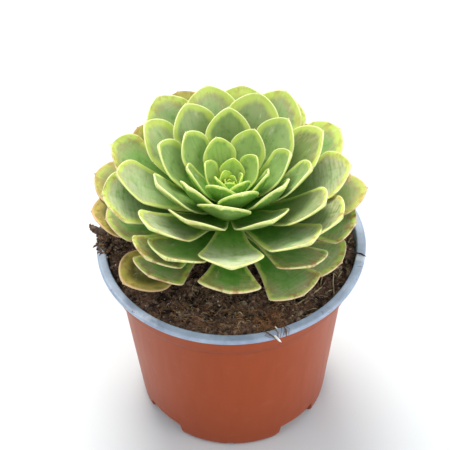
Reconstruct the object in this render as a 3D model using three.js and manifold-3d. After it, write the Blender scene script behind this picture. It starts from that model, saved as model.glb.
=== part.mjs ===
// A rosette succulent in a 12 cm nursery pot. Millimetres, +Z up.
// The origin is the centre of the pot's foot on the surface that it stands on.
// The front of the plant, where its lowest leaves spread over the soil, faces -Y.

import * as THREE from 'three';
import { mergeVertices } from 'three/addons/utils/BufferGeometryUtils.js';
import Module from 'manifold-3d';

// Pot: one thin thermoformed shell.
const potHeight = 94;
const rimRadius = 60;
const rimWidth = 4.1;
const lipDrop = 2.1;
const wall = 1.0;
const collarHeight = 13;
const collarTaper = 1.4;
const shoulderDrop = 3;
const bodyTopRadius = 51.8;
const bodyFootRadius = 44.8;
const footCorner = 3;
const cornerBend = { out: 0.65, up: 0.5, top: 1.4 };
const footRingWidth = 4;
const floorLift = 2.2;
const rimRounding = 0.7;
const lipRounding = 0.4;
const bendEase = 0.3;
const potSides = 72;

// Drainage: the foot ring is broken by four gaps, and the floor has round holes.
const gapCount = 4;
const gapAngle = 27;
const gapHeight = 7.5;
const gapDepth = 5;
const gapTurn = 41.5;
const gapSteps = 6;
const pocketMargin = 3;
const notchWidth = 3;
const notchHeight = 1.9;
const holeCount = 6;
const holeRadius = 3.5;
const holeCircle = 27;
const holeSides = 16;

// Soil: fills the pot to just under its rim, and has waves of two spacings.
const clearance = 0.35;
const soilDrop = 3;
const soilMound = 2.5;
const soilWaves = [
  { height: 0.8, spacingX: 20, spacingY: 23 },
  { height: 0.5, spacingX: 57, spacingY: 12 },
];
const soilRings = 9;
const soilSides = 48;

// Peat that has spilled over the rim: how far out, how far above the rim, and its half sizes.
const spillAngle = 176;
const spill = [
  { distance: 51.5, height: -1.2, size: [3.6, 8, 3.4] },
  { distance: 55.4, height: 2.1, size: [4.6, 6, 1.7] },
];

// Plant: where its axis stands in the pot, how far above the rim, and how it leans.
const plantX = -0.8;
const plantY = 4.8;
const plantRise = 2.4;
const leanForward = 3;
const leanRight = 1.5;

// Stem and the crown that the leaves grow from, measured in the plant's own frame.
const stemRadius = 6;
const stemDepth = 30;
const crownFoot = 2;
const crownTop = 22.3;
const crownFootRadius = 8;
const crownTopRadius = 2.2;

// Leaves: a golden-angle spiral, counted from the heart outwards.
const leafCount = 66;
const heartLeaves = 6;
const goldenAngle = 137.55;
const firstLeafAngle = 269;

// How a leaf changes with age: the age that each column stands for, then the length
// and widest width in mm, the angle above level and the upward curl in degrees, how
// high the margins stand above the midrib as a share of the half width, where along
// its length it is widest, and how late it flares out from its narrow neck.
const growth = {
  age: [-6, 0, 4, 9, 16, 24, 34, 46, 56, 67],
  length: [6, 11, 17, 26.5, 38, 47.5, 55, 57.5, 55, 50],
  width: [3.2, 6.8, 11.4, 15.4, 20, 24, 26.5, 26.5, 26.5, 26],
  rise: [89, 82, 68, 58, 51, 43.5, 34.5, 24, 13.5, 3],
  curl: [10, 20, 30, 38, 42, 34, 25, 22, 22, 20],
  cupping: [0.4, 0.35, 0.3, 0.25, 0.22, 0.18, 0.14, 0.11, 0.06, 0.03],
  widest: [0.66, 0.66, 0.66, 0.68, 0.71, 0.75, 0.79, 0.83, 0.87, 0.88],
  flare: [1, 1, 1, 1.1, 1.2, 1.5, 2, 2.8, 4, 4.4],
};

// Leaves that stand out of the spiral: degrees of turn and of lift, stretch of the
// length, and degrees of roll about the midrib.
const strays = {
  15: [-4, -1],
  18: [4, 0],
  19: [-4, 0],
  21: [2, 1],
  23: [0, 0, 0.95, -9],
  24: [6, 2],
  26: [2, -3, 0.94, 4],
  27: [0, 2],
  28: [0, 1],
  29: [5, 1],
  31: [0, -2],
  32: [2, -3],
  33: [7, 3],
  34: [-3, -9, 1.04],
  35: [-4, 3],
  36: [0, -1],
  37: [9, 1],
  38: [0, 0, 0.97],
  39: [2, -2],
  40: [1, 3],
  41: [-5, 2],
  42: [-11, -2],
  44: [-10, 4],
  45: [-3, 4, 1.02, -9],
  48: [-7, 0, 0.92],
  49: [-7, -7],
  50: [-1, 2, 0.96],
  51: [0, 0, 0.96],
  52: [-8, -1, 0.92, -16],
  53: [6, -8],
  55: [5, 4, 1.02],
  57: [-4, 0, 0.95],
  58: [9, -11],
  60: [6, -5, 0.96],
  61: [7, 4, 1.08],
  62: [0, 10, 1.01],
  63: [-11, 8],
  65: [0, 0, 0.98, -6],
  66: [2, 12],
};
const lostLeaves = [47];

// Leaf section: thickness in mm. A blade thins towards its tip, and the small blades
// of the heart are thinner.
const midribThickness = 3.0;
const marginThickness = 0.9;
const tipThinning = 0.45;
const fullThicknessWidth = 22;
const thinnest = 0.6;

const wasm = await Module();
wasm.setup();

const rad = THREE.MathUtils.degToRad;

// Positions closer than this are one vertex.
const mergeDistance = 1e-4;

function solidOf(positions, triangles) {
  return new wasm.Manifold(new wasm.Mesh({
    numProp: 3,
    vertProperties: new Float32Array(positions),
    triVerts: new Uint32Array(triangles),
  }));
}

function solidFrom(geometry) {
  geometry.deleteAttribute('normal');
  geometry.deleteAttribute('uv');
  const merged = mergeVertices(geometry, mergeDistance);
  return solidOf(merged.attributes.position.array, merged.index.array);
}

function geometryFrom(solid) {
  const mesh = solid.getMesh();
  const geometry = new THREE.BufferGeometry();
  geometry.setAttribute('position', new THREE.BufferAttribute(mesh.vertProperties, 3));
  geometry.setIndex(new THREE.BufferAttribute(mesh.triVerts, 1));
  geometry.computeVertexNormals();
  return geometry;
}

function part(name, geometry, color, roughness) {
  const material = new THREE.MeshStandardMaterial({ color, roughness, metalness: 0 });
  material.name = name;
  const mesh = new THREE.Mesh(geometry, material);
  mesh.name = name;
  return mesh;
}

// A closed profile of [radius, height] pairs, turned about Z.
function turned(profile, sides) {
  const points = profile.map(([radius, height]) => new THREE.Vector2(radius, height));
  const geometry = new THREE.LatheGeometry(points, sides);
  geometry.rotateX(Math.PI / 2);
  return geometry;
}

// Heights and radii where the wall bends.
const shoulderTop = potHeight - collarHeight;
const shoulderFoot = shoulderTop - shoulderDrop;
const collarTopRadius = rimRadius - rimWidth + wall;
const collarFootRadius = collarTopRadius - collarTaper;

const floorTop = floorLift + wall;

function potProfile() {
  const lipFoot = potHeight - lipDrop;
  const underFlange = potHeight - wall;
  const ringOuter = bodyFootRadius - footCorner;
  const ringInner = ringOuter - footRingWidth;
  return [
    [0, floorLift],
    [ringInner - wall, floorLift],
    [ringInner, 0],
    [ringOuter, 0],
    [ringOuter + footCorner * cornerBend.out, footCorner * cornerBend.up],
    [bodyFootRadius, footCorner * cornerBend.top],
    [bodyTopRadius, shoulderFoot],
    [collarFootRadius, shoulderTop],
    [collarTopRadius, underFlange],
    [rimRadius - wall, underFlange],
    [rimRadius - wall, lipFoot],
    [rimRadius - lipRounding / 4, lipFoot],
    [rimRadius, lipFoot + lipRounding],
    [rimRadius, potHeight - rimRounding],
    [rimRadius - rimRounding, potHeight],
    [collarTopRadius - wall + rimRounding, potHeight],
    [collarTopRadius - wall, potHeight - rimRounding],
    [collarFootRadius - wall, shoulderTop + bendEase],
    [bodyTopRadius - wall, shoulderFoot + bendEase],
    [bodyFootRadius - wall, footCorner + floorTop],
    [ringOuter, floorTop],
    [0, floorTop],
  ];
}

// A block that is a sector of a ring about Z.
function ringSector(angle, spread, inner, outer, foot, top) {
  const outline = new THREE.Shape();
  const half = rad(spread / 2);
  outline.absarc(0, 0, outer, angle - half, angle + half, false);
  outline.absarc(0, 0, inner, angle + half, angle - half, true);
  const geometry = new THREE.ExtrudeGeometry(outline, {
    depth: top - foot,
    bevelEnabled: false,
    curveSegments: gapSteps,
  });
  return solidFrom(geometry.translate(0, 0, foot));
}

// The pocket of a drainage gap: its roof stands up inside the pot, and its
// space is cut away below it.
const pocketInner = bodyFootRadius - wall - gapDepth;
const pocketOuter = bodyFootRadius - wall / 2;
const pocketSpread = gapAngle + pocketMargin;
const pocketFoot = floorLift + wall / 5;
const pocketTop = gapHeight + wall;

function gapRoof(angle) {
  return ringSector(angle, pocketSpread, pocketInner - wall, pocketOuter, pocketFoot, pocketTop);
}

function footGap(angle) {
  return ringSector(angle, gapAngle, pocketInner, rimRadius, -wall, gapHeight);
}

// The small notch in the middle of each foot.
function footNotch(angle) {
  const outline = new THREE.Shape([
    new THREE.Vector2(-notchWidth / 2, -wall),
    new THREE.Vector2(notchWidth / 2, -wall),
    new THREE.Vector2(notchWidth / 2, 0),
    new THREE.Vector2(0, notchHeight),
    new THREE.Vector2(-notchWidth / 2, 0),
  ]);
  const geometry = new THREE.ExtrudeGeometry(outline, { depth: footRingWidth * 3, bevelEnabled: false });
  geometry.rotateX(Math.PI / 2);
  geometry.translate(0, bodyFootRadius + footRingWidth, 0);
  geometry.rotateZ(angle - Math.PI / 2);
  return solidFrom(geometry);
}

function drainHole(angle) {
  const geometry = new THREE.CylinderGeometry(holeRadius, holeRadius, 6 * wall, holeSides);
  geometry.rotateX(Math.PI / 2);
  geometry.translate(holeCircle * Math.cos(angle), holeCircle * Math.sin(angle), floorLift);
  return solidFrom(geometry);
}

function nurseryPot() {
  let pot = solidFrom(turned(potProfile(), potSides));
  for (let i = 0; i < gapCount; i++) {
    const angle = rad(gapTurn) + (i * 2 * Math.PI) / gapCount;
    pot = pot.add(gapRoof(angle)).subtract(footGap(angle));
    pot = pot.subtract(footNotch(angle + Math.PI / gapCount));
  }
  for (let i = 0; i < holeCount; i++) {
    pot = pot.subtract(drainHole(((i + 0.5) * 2 * Math.PI) / holeCount));
  }
  return part('nursery_pot', geometryFrom(pot), 0xa9553a, 0.45);
}

// Everything that grows is placed in this frame, which stands just above the rim.
const plantFrame = new THREE.Matrix4()
  .makeTranslation(plantX, plantY, potHeight + plantRise)
  .multiply(new THREE.Matrix4().makeRotationX(rad(leanForward)))
  .multiply(new THREE.Matrix4().makeRotationY(rad(leanRight)));

// The woody stem tapers to a blunt root end below the soil's surface.
const stemTaper = [[1, 0.45], [0.6, 0.8], [0.25, 1]];
const stemSides = 16;

function stemGeometry(radius, top, depth) {
  const taper = stemTaper.map(([down, width]) => [radius * width, -depth * down]);
  const profile = [[0, -depth], ...taper, [radius, top], [0, top]];
  return turned(profile, stemSides).applyMatrix4(plantFrame);
}

function stem() {
  return part('stem', stemGeometry(stemRadius, crownFoot - clearance, stemDepth), 0x6d5a3c, 0.9);
}

// Height of the soil's surface, which rises towards the stem.
function soilHeight(x, y) {
  const distance = Math.hypot(x, y) / rimRadius;
  let height = potHeight - soilDrop + soilMound * (1 - distance * distance);
  for (const wave of soilWaves) {
    height += wave.height * Math.sin((2 * Math.PI * x) / wave.spacingX + 1)
      * Math.cos((2 * Math.PI * y) / wave.spacingY);
  }
  return height;
}

function soilBody() {
  const top = potHeight - soilDrop;
  const fit = wall + clearance;
  const rimInner = collarTopRadius - fit - clearance;
  const profile = [
    [0, floorTop + clearance],
    [pocketInner - fit, floorTop + clearance],
    [pocketInner - fit, pocketTop],
    [bodyFootRadius - fit, pocketTop + 2 * clearance],
    [bodyTopRadius - fit, shoulderFoot + bendEase],
    [collarFootRadius - fit, shoulderTop + bendEase],
  ];
  for (let i = soilRings; i >= 0; i--) {
    profile.push([(rimInner * i) / soilRings, top]);
  }
  const geometry = turned(profile, soilSides);
  const position = geometry.attributes.position;
  for (let i = 0; i < position.count; i++) {
    if (position.getZ(i) > top - clearance) {
      position.setZ(i, soilHeight(position.getX(i), position.getY(i)));
    }
  }
  return solidFrom(geometry);
}

// A lump of peat: a ball pressed flat and set down.
function peatLump({ distance, height, size }) {
  const geometry = new THREE.IcosahedronGeometry(1, 1);
  geometry.scale(...size);
  geometry.translate(distance, 0, potHeight + height);
  geometry.rotateZ(rad(spillAngle));
  return solidFrom(geometry);
}

function pottingSoil() {
  let soil = soilBody();
  for (const lump of spill) {
    soil = soil.add(peatLump(lump));
  }
  const hole = stemGeometry(stemRadius + clearance, crownTop, stemDepth + clearance);
  soil = soil.subtract(solidFrom(hole));
  return part('potting_soil', geometryFrom(soil), 0x3b2a20, 1.0);
}

// A value from the growth table, between the two nearest columns.
function atAge(row, age) {
  const ages = growth.age;
  const k = Math.max(0, Math.min(ages.length - 2, ages.findIndex((a) => a > age) - 1));
  const t = (age - ages[k]) / (ages[k + 1] - ages[k]);
  return THREE.MathUtils.lerp(growth[row][k], growth[row][k + 1], t);
}

// Share of the widest width at a share of the length: a neck that flares out, a corner
// at the widest place, and from there an obtuse end. The flanks follow a sine as far
// as flankArc.
const wedgeFoot = 0.34;
const flankArc = rad(70);
const tipFullness = 1.8;
const tipRoundness = 0.66;
const pointShare = 0.14;

function outline(s, widest, flare) {
  if (s < widest) {
    const flank = Math.sin((flankArc * s) / widest) / Math.sin(flankArc);
    return wedgeFoot + (1 - wedgeFoot) * flank ** flare;
  }
  const t = (s - widest) / (1 - widest);
  return Math.max(pointShare, (1 - t ** tipFullness) ** tipRoundness);
}

// Where a blade has its points: shares of the way to its widest place, shares of the
// way on to its tip, and shares of the half width.
const alongNeck = [0, 0.38, 0.7, 1];
const alongTip = [0.45, 0.8, 1];
const alongNeckInHeart = [0, 0.5, 1];
const alongTipInHeart = [0.65, 1];
const heartAge = 3;
const acrossTop = [-1, -0.55, 0, 0.55, 1];
const acrossBottom = [1, 0, -1];

// The foot of the oldest leaf stays above the crown's own foot, and the feet move out
// from the axis with age, as shares of the crown's radius.
const lowestFoot = crownFoot + midribThickness + 0.8;
const footReach = { youngest: 0.1, oldest: 0.75 };

// One leaf: a cupped, upcurved blade, thick in the middle and thin at its margins.
function leafSolid(age) {
  const [turn = 0, lift = 0, stretch = 1, roll = 0] = strays[age] ?? [];
  const angle = rad(firstLeafAngle - goldenAngle * age + turn);
  const rise = rad(atAge('rise', age) + lift);
  const curl = rad(atAge('curl', age));
  const halfWidth = atAge('width', age) / 2;
  const cupping = atAge('cupping', age);
  const widest = atAge('widest', age);
  const flare = atAge('flare', age);
  const arcRadius = (stretch * atAge('length', age)) / (2 * Math.sin(curl / 2));
  const share = (age + heartLeaves) / (leafCount + heartLeaves);
  const footHeight = THREE.MathUtils.lerp(crownTop, lowestFoot, share);
  const footRadius = crownFootRadius * THREE.MathUtils.lerp(footReach.youngest, footReach.oldest, share);
  const thickness = midribThickness * Math.min(1, (2 * halfWidth) / fullThicknessWidth);

  const out = new THREE.Vector3(Math.cos(angle), Math.sin(angle), 0);
  const level = new THREE.Vector3(-Math.sin(angle), Math.cos(angle), 0);
  const up = new THREE.Vector3(0, 0, 1);
  const [neck, tip] = age > heartAge ? [alongNeck, alongTip] : [alongNeckInHeart, alongTipInHeart];
  const stations = [...neck.map((t) => t * widest), ...tip.map((t) => widest + t * (1 - widest))];
  const startSlope = rise - curl / 2;
  const points = [];
  for (const s of stations) {
    const slope = startSlope + curl * s;
    const reach = footRadius + arcRadius * (Math.sin(slope) - Math.sin(startSlope));
    const height = footHeight + arcRadius * (Math.cos(startSlope) - Math.cos(slope));
    const normal = out.clone().multiplyScalar(-Math.sin(slope)).addScaledVector(up, Math.cos(slope));
    const side = level.clone().multiplyScalar(Math.cos(rad(roll)));
    side.addScaledVector(normal, Math.sin(rad(roll)));
    const centre = out.clone().multiplyScalar(reach).addScaledVector(up, height);
    const half = halfWidth * outline(s, widest, flare);
    const middle = Math.max(thinnest, thickness * (1 - tipThinning * s));
    const edge = Math.min(marginThickness, middle);
    const pointAt = (v, thick) => centre.clone()
      .addScaledVector(side, v * half)
      .addScaledVector(normal, cupping * half * v * v - thick);
    for (const v of acrossTop) {
      points.push(pointAt(v, 0));
    }
    for (const v of acrossBottom) {
      points.push(pointAt(v, THREE.MathUtils.lerp(middle, edge, Math.abs(v))));
    }
  }
  return solidOf(points.flatMap((point) => point.toArray()), bladeTriangles(stations.length));
}

// The skin of a blade: a sleeve of rings round its section, closed at both ends.
function bladeTriangles(ringCount) {
  const ring = acrossTop.length + acrossBottom.length;
  const triangles = [];
  for (let k = 0; k < ringCount - 1; k++) {
    for (let j = 0; j < ring; j++) {
      const a = k * ring + j;
      const b = k * ring + ((j + 1) % ring);
      triangles.push(a, b + ring, b, a, a + ring, b + ring);
    }
  }
  const last = (ringCount - 1) * ring;
  const cap = [[0, 1, 7], [1, 6, 7], [1, 2, 6], [2, 3, 6], [3, 5, 6], [3, 4, 5]];
  for (const [a, b, c] of cap) {
    triangles.push(a, b, c);
    triangles.push(last + c, last + b, last + a);
  }
  return triangles;
}

// The crown: a cone with a bevelled foot and a pointed top.
const crownSides = 14;
const crownBevel = 3;
const crownPoint = 4;

function crownSolid() {
  const profile = [
    [0, crownFoot],
    [crownFootRadius * 0.8, crownFoot],
    [crownFootRadius, crownFoot + crownBevel],
    [crownTopRadius, crownTop],
    [0, crownTop + crownPoint],
  ];
  return solidFrom(turned(profile, crownSides));
}

// The outermost skin alone: hollows closed in between the leaf bases are filled.
function outerSkin(solid) {
  const skins = solid.decompose();
  return skins.reduce((largest, skin) => (skin.volume() > largest.volume() ? skin : largest));
}

function rosette() {
  const blades = [];
  for (let age = 1 - heartLeaves; age <= leafCount; age++) {
    if (!lostLeaves.includes(age)) {
      blades.push(leafSolid(age));
    }
  }
  const joined = outerSkin(wasm.Manifold.union([crownSolid(), ...blades]));
  return part('rosette', geometryFrom(joined).applyMatrix4(plantFrame), 0x7fa65c, 0.5);
}

const plant = new THREE.Group();
plant.add(nurseryPot(), pottingSoil(), stem(), rosette());

export default plant;
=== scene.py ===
import random
from math import atan2, cos, degrees, hypot, pi, radians, sin, sqrt

import bpy
import numpy as np
from mathutils import Matrix, Vector, noise


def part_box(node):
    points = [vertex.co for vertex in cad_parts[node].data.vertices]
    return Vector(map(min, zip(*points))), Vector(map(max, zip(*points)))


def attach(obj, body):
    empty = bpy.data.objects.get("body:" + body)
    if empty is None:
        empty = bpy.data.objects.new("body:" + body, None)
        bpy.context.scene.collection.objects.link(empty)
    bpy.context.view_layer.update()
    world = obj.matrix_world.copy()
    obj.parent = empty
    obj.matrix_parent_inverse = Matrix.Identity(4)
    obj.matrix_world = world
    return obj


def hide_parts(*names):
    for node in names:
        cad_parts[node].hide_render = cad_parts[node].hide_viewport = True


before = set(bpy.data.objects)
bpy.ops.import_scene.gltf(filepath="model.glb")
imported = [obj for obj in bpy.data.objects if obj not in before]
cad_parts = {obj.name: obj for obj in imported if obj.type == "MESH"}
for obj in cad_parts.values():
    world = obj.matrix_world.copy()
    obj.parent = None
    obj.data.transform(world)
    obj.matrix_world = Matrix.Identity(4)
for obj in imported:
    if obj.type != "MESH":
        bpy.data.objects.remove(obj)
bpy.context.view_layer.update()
mm = 0.001
print("frame loaded")


def linearColor(hexCode):  # sRGB hex to the linear RGBA that nodes take
    shares = [int(hexCode[i:i + 2], 16) / 255 for i in (1, 3, 5)]
    return [c / 12.92 if c <= 0.04045 else ((c + 0.055) / 1.055) ** 2.4 for c in shares] + [1.0]


def newMaterial(name, settings):  # the settings are constants on the shader's own sockets
    material = bpy.data.materials.new(name)
    material.use_nodes = True
    shader = material.node_tree.nodes["Principled BSDF"]
    for socket, value in settings.items():
        shader.inputs[socket].default_value = value
    return material, material.node_tree, shader


def addNode(tree, kind, settings=None, links=None):  # sockets by name or number, other settings by name
    node = tree.nodes.new("ShaderNode" + kind)
    for name, value in (settings or {}).items():
        if isinstance(name, int) or name in node.inputs:
            node.inputs[name].default_value = value
        else:
            setattr(node, name, value)
    for name, source in (links or {}).items():
        tree.links.new(source, node.inputs[name])
    return node


def paintSurface(tree, shader, finish, where, fields, unit=mm):
    # patterns are noise by size in mm, and each coat covers the last between its fields' limits
    for name, (size, detail) in finish["patterns"].items():
        scale = [1 / (length * unit) for length in size]
        place = addNode(tree, "Mapping", {"Scale": scale}, {"Vector": where})
        fields[name] = addNode(tree, "TexNoise", {"Scale": 1.0, "Detail": detail, "Roughness": 0.62},
                               {"Vector": place.outputs[0]}).outputs[0]
    below = linearColor(finish["coats"][0][0])
    for hexCode, strength, *limits in finish["coats"][1:]:
        factor = None
        for field, start, full in limits:
            settings = {"interpolation_type": "SMOOTHSTEP", "From Min": start, "From Max": full,
                        "To Max": 1.0 if factor else strength}
            share = addNode(tree, "MapRange", settings, {"Value": fields[field]}).outputs[0]
            if factor:
                share = addNode(tree, "Math", {"operation": "MULTIPLY"}, {0: factor, 1: share}).outputs[0]
            factor = share
        settings, links = {"data_type": "RGBA", 7: linearColor(hexCode)}, {0: factor}
        (settings if isinstance(below, list) else links)[6] = below
        below = addNode(tree, "Mix", settings, links).outputs[2]
    tree.links.new(below, shader.inputs["Base Color"])
    if "gloss" in finish:  # a field, its limits, and the roughness there
        field, start, full, low, high = finish["gloss"]
        settings = {"From Min": start, "From Max": full, "To Min": low, "To Max": high}
        gloss = addNode(tree, "MapRange", settings, {"Value": fields[field]}).outputs[0]
        tree.links.new(gloss, shader.inputs["Roughness"])
    if "bump" in finish:  # a field, its strength and its depth in mm
        field, strength, depth = finish["bump"]
        settings = {"Strength": strength, "Distance": depth * mm}
        bump = addNode(tree, "Bump", settings, {"Height": fields[field]})
        tree.links.new(bump.outputs[0], shader.inputs["Normal"])


def paintedMaterial(name, settings, finish):  # coloured by its patterns alone
    material, tree, shader = newMaterial(name, settings)
    paintSurface(tree, shader, finish, addNode(tree, "TexCoord").outputs["Object"], {})
    return material


def addObject(name, data):
    added = bpy.data.objects.new(name, data)
    bpy.context.scene.collection.objects.link(added)
    return added


def makePiece(name, points, faces, materials, looks=None, fields=None, smooth=True):
    mesh = bpy.data.meshes.new(name)
    mesh.from_pydata((np.asarray(points, float) * mm).tolist(), [], faces)
    for material in materials:
        mesh.materials.append(material)
    if looks is not None:
        mesh.polygons.foreach_set("material_index", looks)
    mesh.polygons.foreach_set("use_smooth", [smooth] * len(mesh.polygons))
    for fieldName, values in (fields or {}).items():
        field = mesh.attributes.new(fieldName, "FLOAT_VECTOR", "POINT")
        field.data.foreach_set("vector", np.asarray(values, np.float32).ravel())
    mesh.update()
    piece = addObject(name, mesh)
    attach(piece, "root")
    return piece


def joinParts(parts):  # parts are (points, faces) with any further columns
    points, faces, count = [], [], 0
    for part in parts:
        points.append(np.asarray(part[0], float))
        faces += [tuple(int(i) + count for i in face) for face in part[1]]
        count += len(part[0])
    extras = [np.concatenate(column) for column in list(zip(*parts))[2:]]
    return [np.concatenate(points), faces, *extras]


def sleeveFaces(rings, around):  # quads between closed rings, with both ends capped
    faces = []
    for k in range(rings - 1):
        for j in range(around):
            a, b = k * around + j, k * around + (j + 1) % around
            faces.append((a, b, b + around, a + around))
    return faces + [tuple(reversed(range(around))), tuple(range((rings - 1) * around, rings * around))]


def polar(radius, turn, *height):  # a point from its radius and its angle in radians
    return (radius * cos(turn), radius * sin(turn), *height)


def evenTurns(count):
    return np.linspace(0, 2 * pi, count, endpoint=False)


def smoothStep(x):
    x = np.clip(x, 0, 1)
    return x * x * (3 - 2 * x)


# the camera that took the picture, found from the pot's rim, wall and foot
photoCamera = {
    "lens": 104,
    "sensor": 36,
    "nearest": 10,
    "elevation": 44.55,
    "distance": 574,
    "target": (-2.6, 0, 102.94),
    "roll": -1.36,
}


def makeCamera():
    elevation = radians(photoCamera["elevation"])
    target = Vector(photoCamera["target"]) * mm
    away = Vector((0, -cos(elevation), sin(elevation))) * photoCamera["distance"] * mm
    lens = bpy.data.cameras.new("photoCamera")
    lens.lens = photoCamera["lens"]
    lens.sensor_width = photoCamera["sensor"]
    lens.clip_start = photoCamera["nearest"] * mm
    camera = addObject("photoCamera", lens)
    turn = (-away).to_track_quat("-Z", "Y").to_matrix().to_4x4()
    roll = Matrix.Rotation(radians(photoCamera["roll"]), 4, "Z")
    camera.matrix_world = Matrix.Translation(target + away) @ turn @ roll
    bpy.context.scene.camera = camera


# a white table in a soft studio: a large lamp high at the back, and two weak ones in front
studio = {
    "floorSize": 8000,
    "floorColor": "#d7dcdd",
    "skyColor": "#f3f6fc",
    "skyStrength": 0.88,
    "aimHeight": 100,
    # azimuth, elevation, distance, size, power and colour
    "lamps": [(101, 58, 950, 560, 10, "#fffcf6"), (225, 50, 1100, 700, 0.9, "#fffefc"),
              (335, 20, 1000, 600, 2.6, "#fffefc")],
}


def makeFloor():
    half = studio["floorSize"] / 2 * mm
    mesh = bpy.data.meshes.new("studioFloor")
    corners = [(-half, -half, 0), (half, -half, 0), (half, half, 0), (-half, half, 0)]
    mesh.from_pydata(corners, [], [(0, 1, 2, 3)])
    paint = {"Base Color": linearColor(studio["floorColor"]), "Roughness": 0.9, "Specular IOR Level": 0.1}
    mesh.materials.append(newMaterial("matteWhitePaint", paint)[0])  # flat white table paint: no gloss
    addObject("studioFloor", mesh)


def makeLight():
    world = bpy.data.worlds.new("softSky")
    bpy.context.scene.world = world
    world.use_nodes = True
    sky = world.node_tree.nodes["Background"]
    sky.inputs["Color"].default_value = linearColor(studio["skyColor"])
    sky.inputs["Strength"].default_value = studio["skyStrength"]
    for number, (azimuth, elevation, distance, size, power, hexCode) in enumerate(studio["lamps"]):
        flat, rise = polar(1, radians(elevation))
        toward = Vector(polar(flat, radians(azimuth), rise))
        light = bpy.data.lights.new(f"softLamp{number}", "AREA")
        light.shape = "DISK"
        light.size = size * mm
        light.energy = power
        light.color = linearColor(hexCode)[:3]
        holder = addObject(f"softLamp{number}", light)
        holder.location = toward * distance * mm + Vector((0, 0, studio["aimHeight"] * mm))
        holder.rotation_euler = toward.to_track_quat("Z", "Y").to_euler()
    bpy.context.scene.view_settings.view_transform = "Standard"


makeCamera()
makeFloor()
makeLight()
print("camera and studio made")


# the pot is one shell: terracotta outside, and a blue-grey lining that turns over the rim
pot = {
    "rimWidth": 4.1,
    "lipDrop": 2.1,
    "wall": 1.0,
    "collarHeight": 13,
    "collarTaper": 1.4,
    "shoulderDrop": 3,
    "topRadius": 51.8,
    "footRadius": 44.8,
    "footCorner": 3,
    "cornerStretch": 1.4,
    "ringWidth": 4,
    "floorLift": 2.2,
    "floorRings": [8, 16, 22, 27, 32],
    "turnStep": 2.5,
    "gapAngle": 27,
    "gapHeight": 7.5,
    "gapDepth": 5,
    "gapTurn": 41.5,
    "gapEdge": 1.3,
    "notchAngle": 2.4,
    "notchHeight": 2.6,
    "holes": 6,
    "holeRadius": 3.5,
    "holeCircle": 27,
    "drillHeights": (0.5, 6),
    "outside": {
        "patterns": {"streaks": ((4, 4, 45), 4), "dust": ((7, 7, 7), 6), "peel": ((1, 1, 1), 2)},
        "coats": [
            ("#a2461b",),
            ("#933f18", 0.22, ("streaks", 0.38, 0.68)),
            ("#8d3d1b", 0.4, ("height", 45 * mm, 0)),
            ("#c98f6c", 0.1, ("dust", 0.55, 0.8)),
        ],
        "gloss": ("streaks", 0, 1, 0.34, 0.48),
        "bump": ("peel", 0.25, 0.05),
    },
    "liner": {
        "patterns": {"clouds": ((11, 11, 11), 5), "patches": ((17, 17, 17), 3),
                     "specks": ((1.6, 1.6, 1.6), 2)},
        "coats": [
            ("#a6b6cb",),
            ("#8b9bb2", 1, ("clouds", 0.35, 0.7)),
            # painted highlight: pale patches on the rim's lining
            ("#e2e7ec", 0.5, ("patches", 0.54, 0.68)),
            ("#4a382a", 0.75, ("specks", 0.66, 0.72), ("patches", 0.42, 0.58)),
        ],
        "gloss": ("clouds", 0, 1, 0.32, 0.46),
    },
}
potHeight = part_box("nursery_pot")[1].z / mm
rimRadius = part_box("nursery_pot")[1].x / mm
collarTop = rimRadius - pot["rimWidth"] + pot["wall"]
collarFoot = collarTop - pot["collarTaper"]
shoulderTop = potHeight - pot["collarHeight"]
shoulderFoot = shoulderTop - pot["shoulderDrop"]
pocketInner = pot["footRadius"] - pot["wall"] - pot["gapDepth"]
ringOuter = pot["footRadius"] - pot["footCorner"]
ringInner = ringOuter - pot["ringWidth"]
floorTop = pot["floorLift"] + pot["wall"]
cornerRise = pot["footCorner"] * pot["cornerStretch"]
# painted shade: a soft darker line under the shoulder's step, where the sheet is also drawn thin
shoulderShade = ("#7d3616", 0.3, ("height", (shoulderTop + 3.5) * mm, (shoulderTop + 0.4) * mm),
                ("height", (shoulderFoot - 5) * mm, shoulderFoot * mm))
pot["outside"]["coats"].append(shoulderShade)


def terracottaPolystyrene():
    # thermoformed polystyrene sheet, coloured through: an even satin skin with faint drawn streaks
    material, tree, shader = newMaterial("terracottaPolystyrene", {"IOR": 1.59, "Specular IOR Level": 0.18})
    where = addNode(tree, "TexCoord").outputs["Object"]
    fields = {"height": addNode(tree, "SeparateXYZ", links={0: where}).outputs["Z"]}
    paintSurface(tree, shader, pot["outside"], where, fields)
    return material


def blueGreyPolystyrene():
    # the lining of the same sheet: cool pale grey, satin, with peat dust and splashes, and painted highlights
    # in pale patches, on the rim
    return paintedMaterial("blueGreyPolystyrene", {"IOR": 1.59, "Specular IOR Level": 0.4}, pot["liner"])


def arcPoints(centre, radius, first, last, count):
    angles = np.radians(np.linspace(first, last, count))
    return [(centre[0] + radius * cos(a), centre[1] + radius * sin(a)) for a in angles]


def wallRadius(height):  # outside, between the foot and the shoulder
    share = (height - cornerRise) / (shoulderFoot - cornerRise)
    return pot["footRadius"] + (pot["topRadius"] - pot["footRadius"]) * share


def collarOutside():  # from the shoulder up to the rim and out to its lip
    wall, under, lip = pot["wall"], potHeight - pot["wall"], potHeight - pot["lipDrop"]
    line = [(pot["topRadius"] + 0.05, shoulderFoot - 0.2), (pot["topRadius"] + 0.5, shoulderFoot + 0.35),
            (collarFoot - 0.5, shoulderTop - 0.45), (collarFoot, shoulderTop + 0.3)]
    for share in np.linspace(0.15, 0.9, 6):
        line.append((collarFoot + (collarTop - collarFoot) * share,
                     shoulderTop + (under - shoulderTop) * share))
    line += [(collarTop, under - 0.5), (collarTop + 0.4, under - 0.1), (collarTop + 1, under),
             (rimRadius - wall - 0.3, under), (rimRadius - wall, under - 0.3), (rimRadius - wall, lip + 0.2)]
    return line


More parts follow.
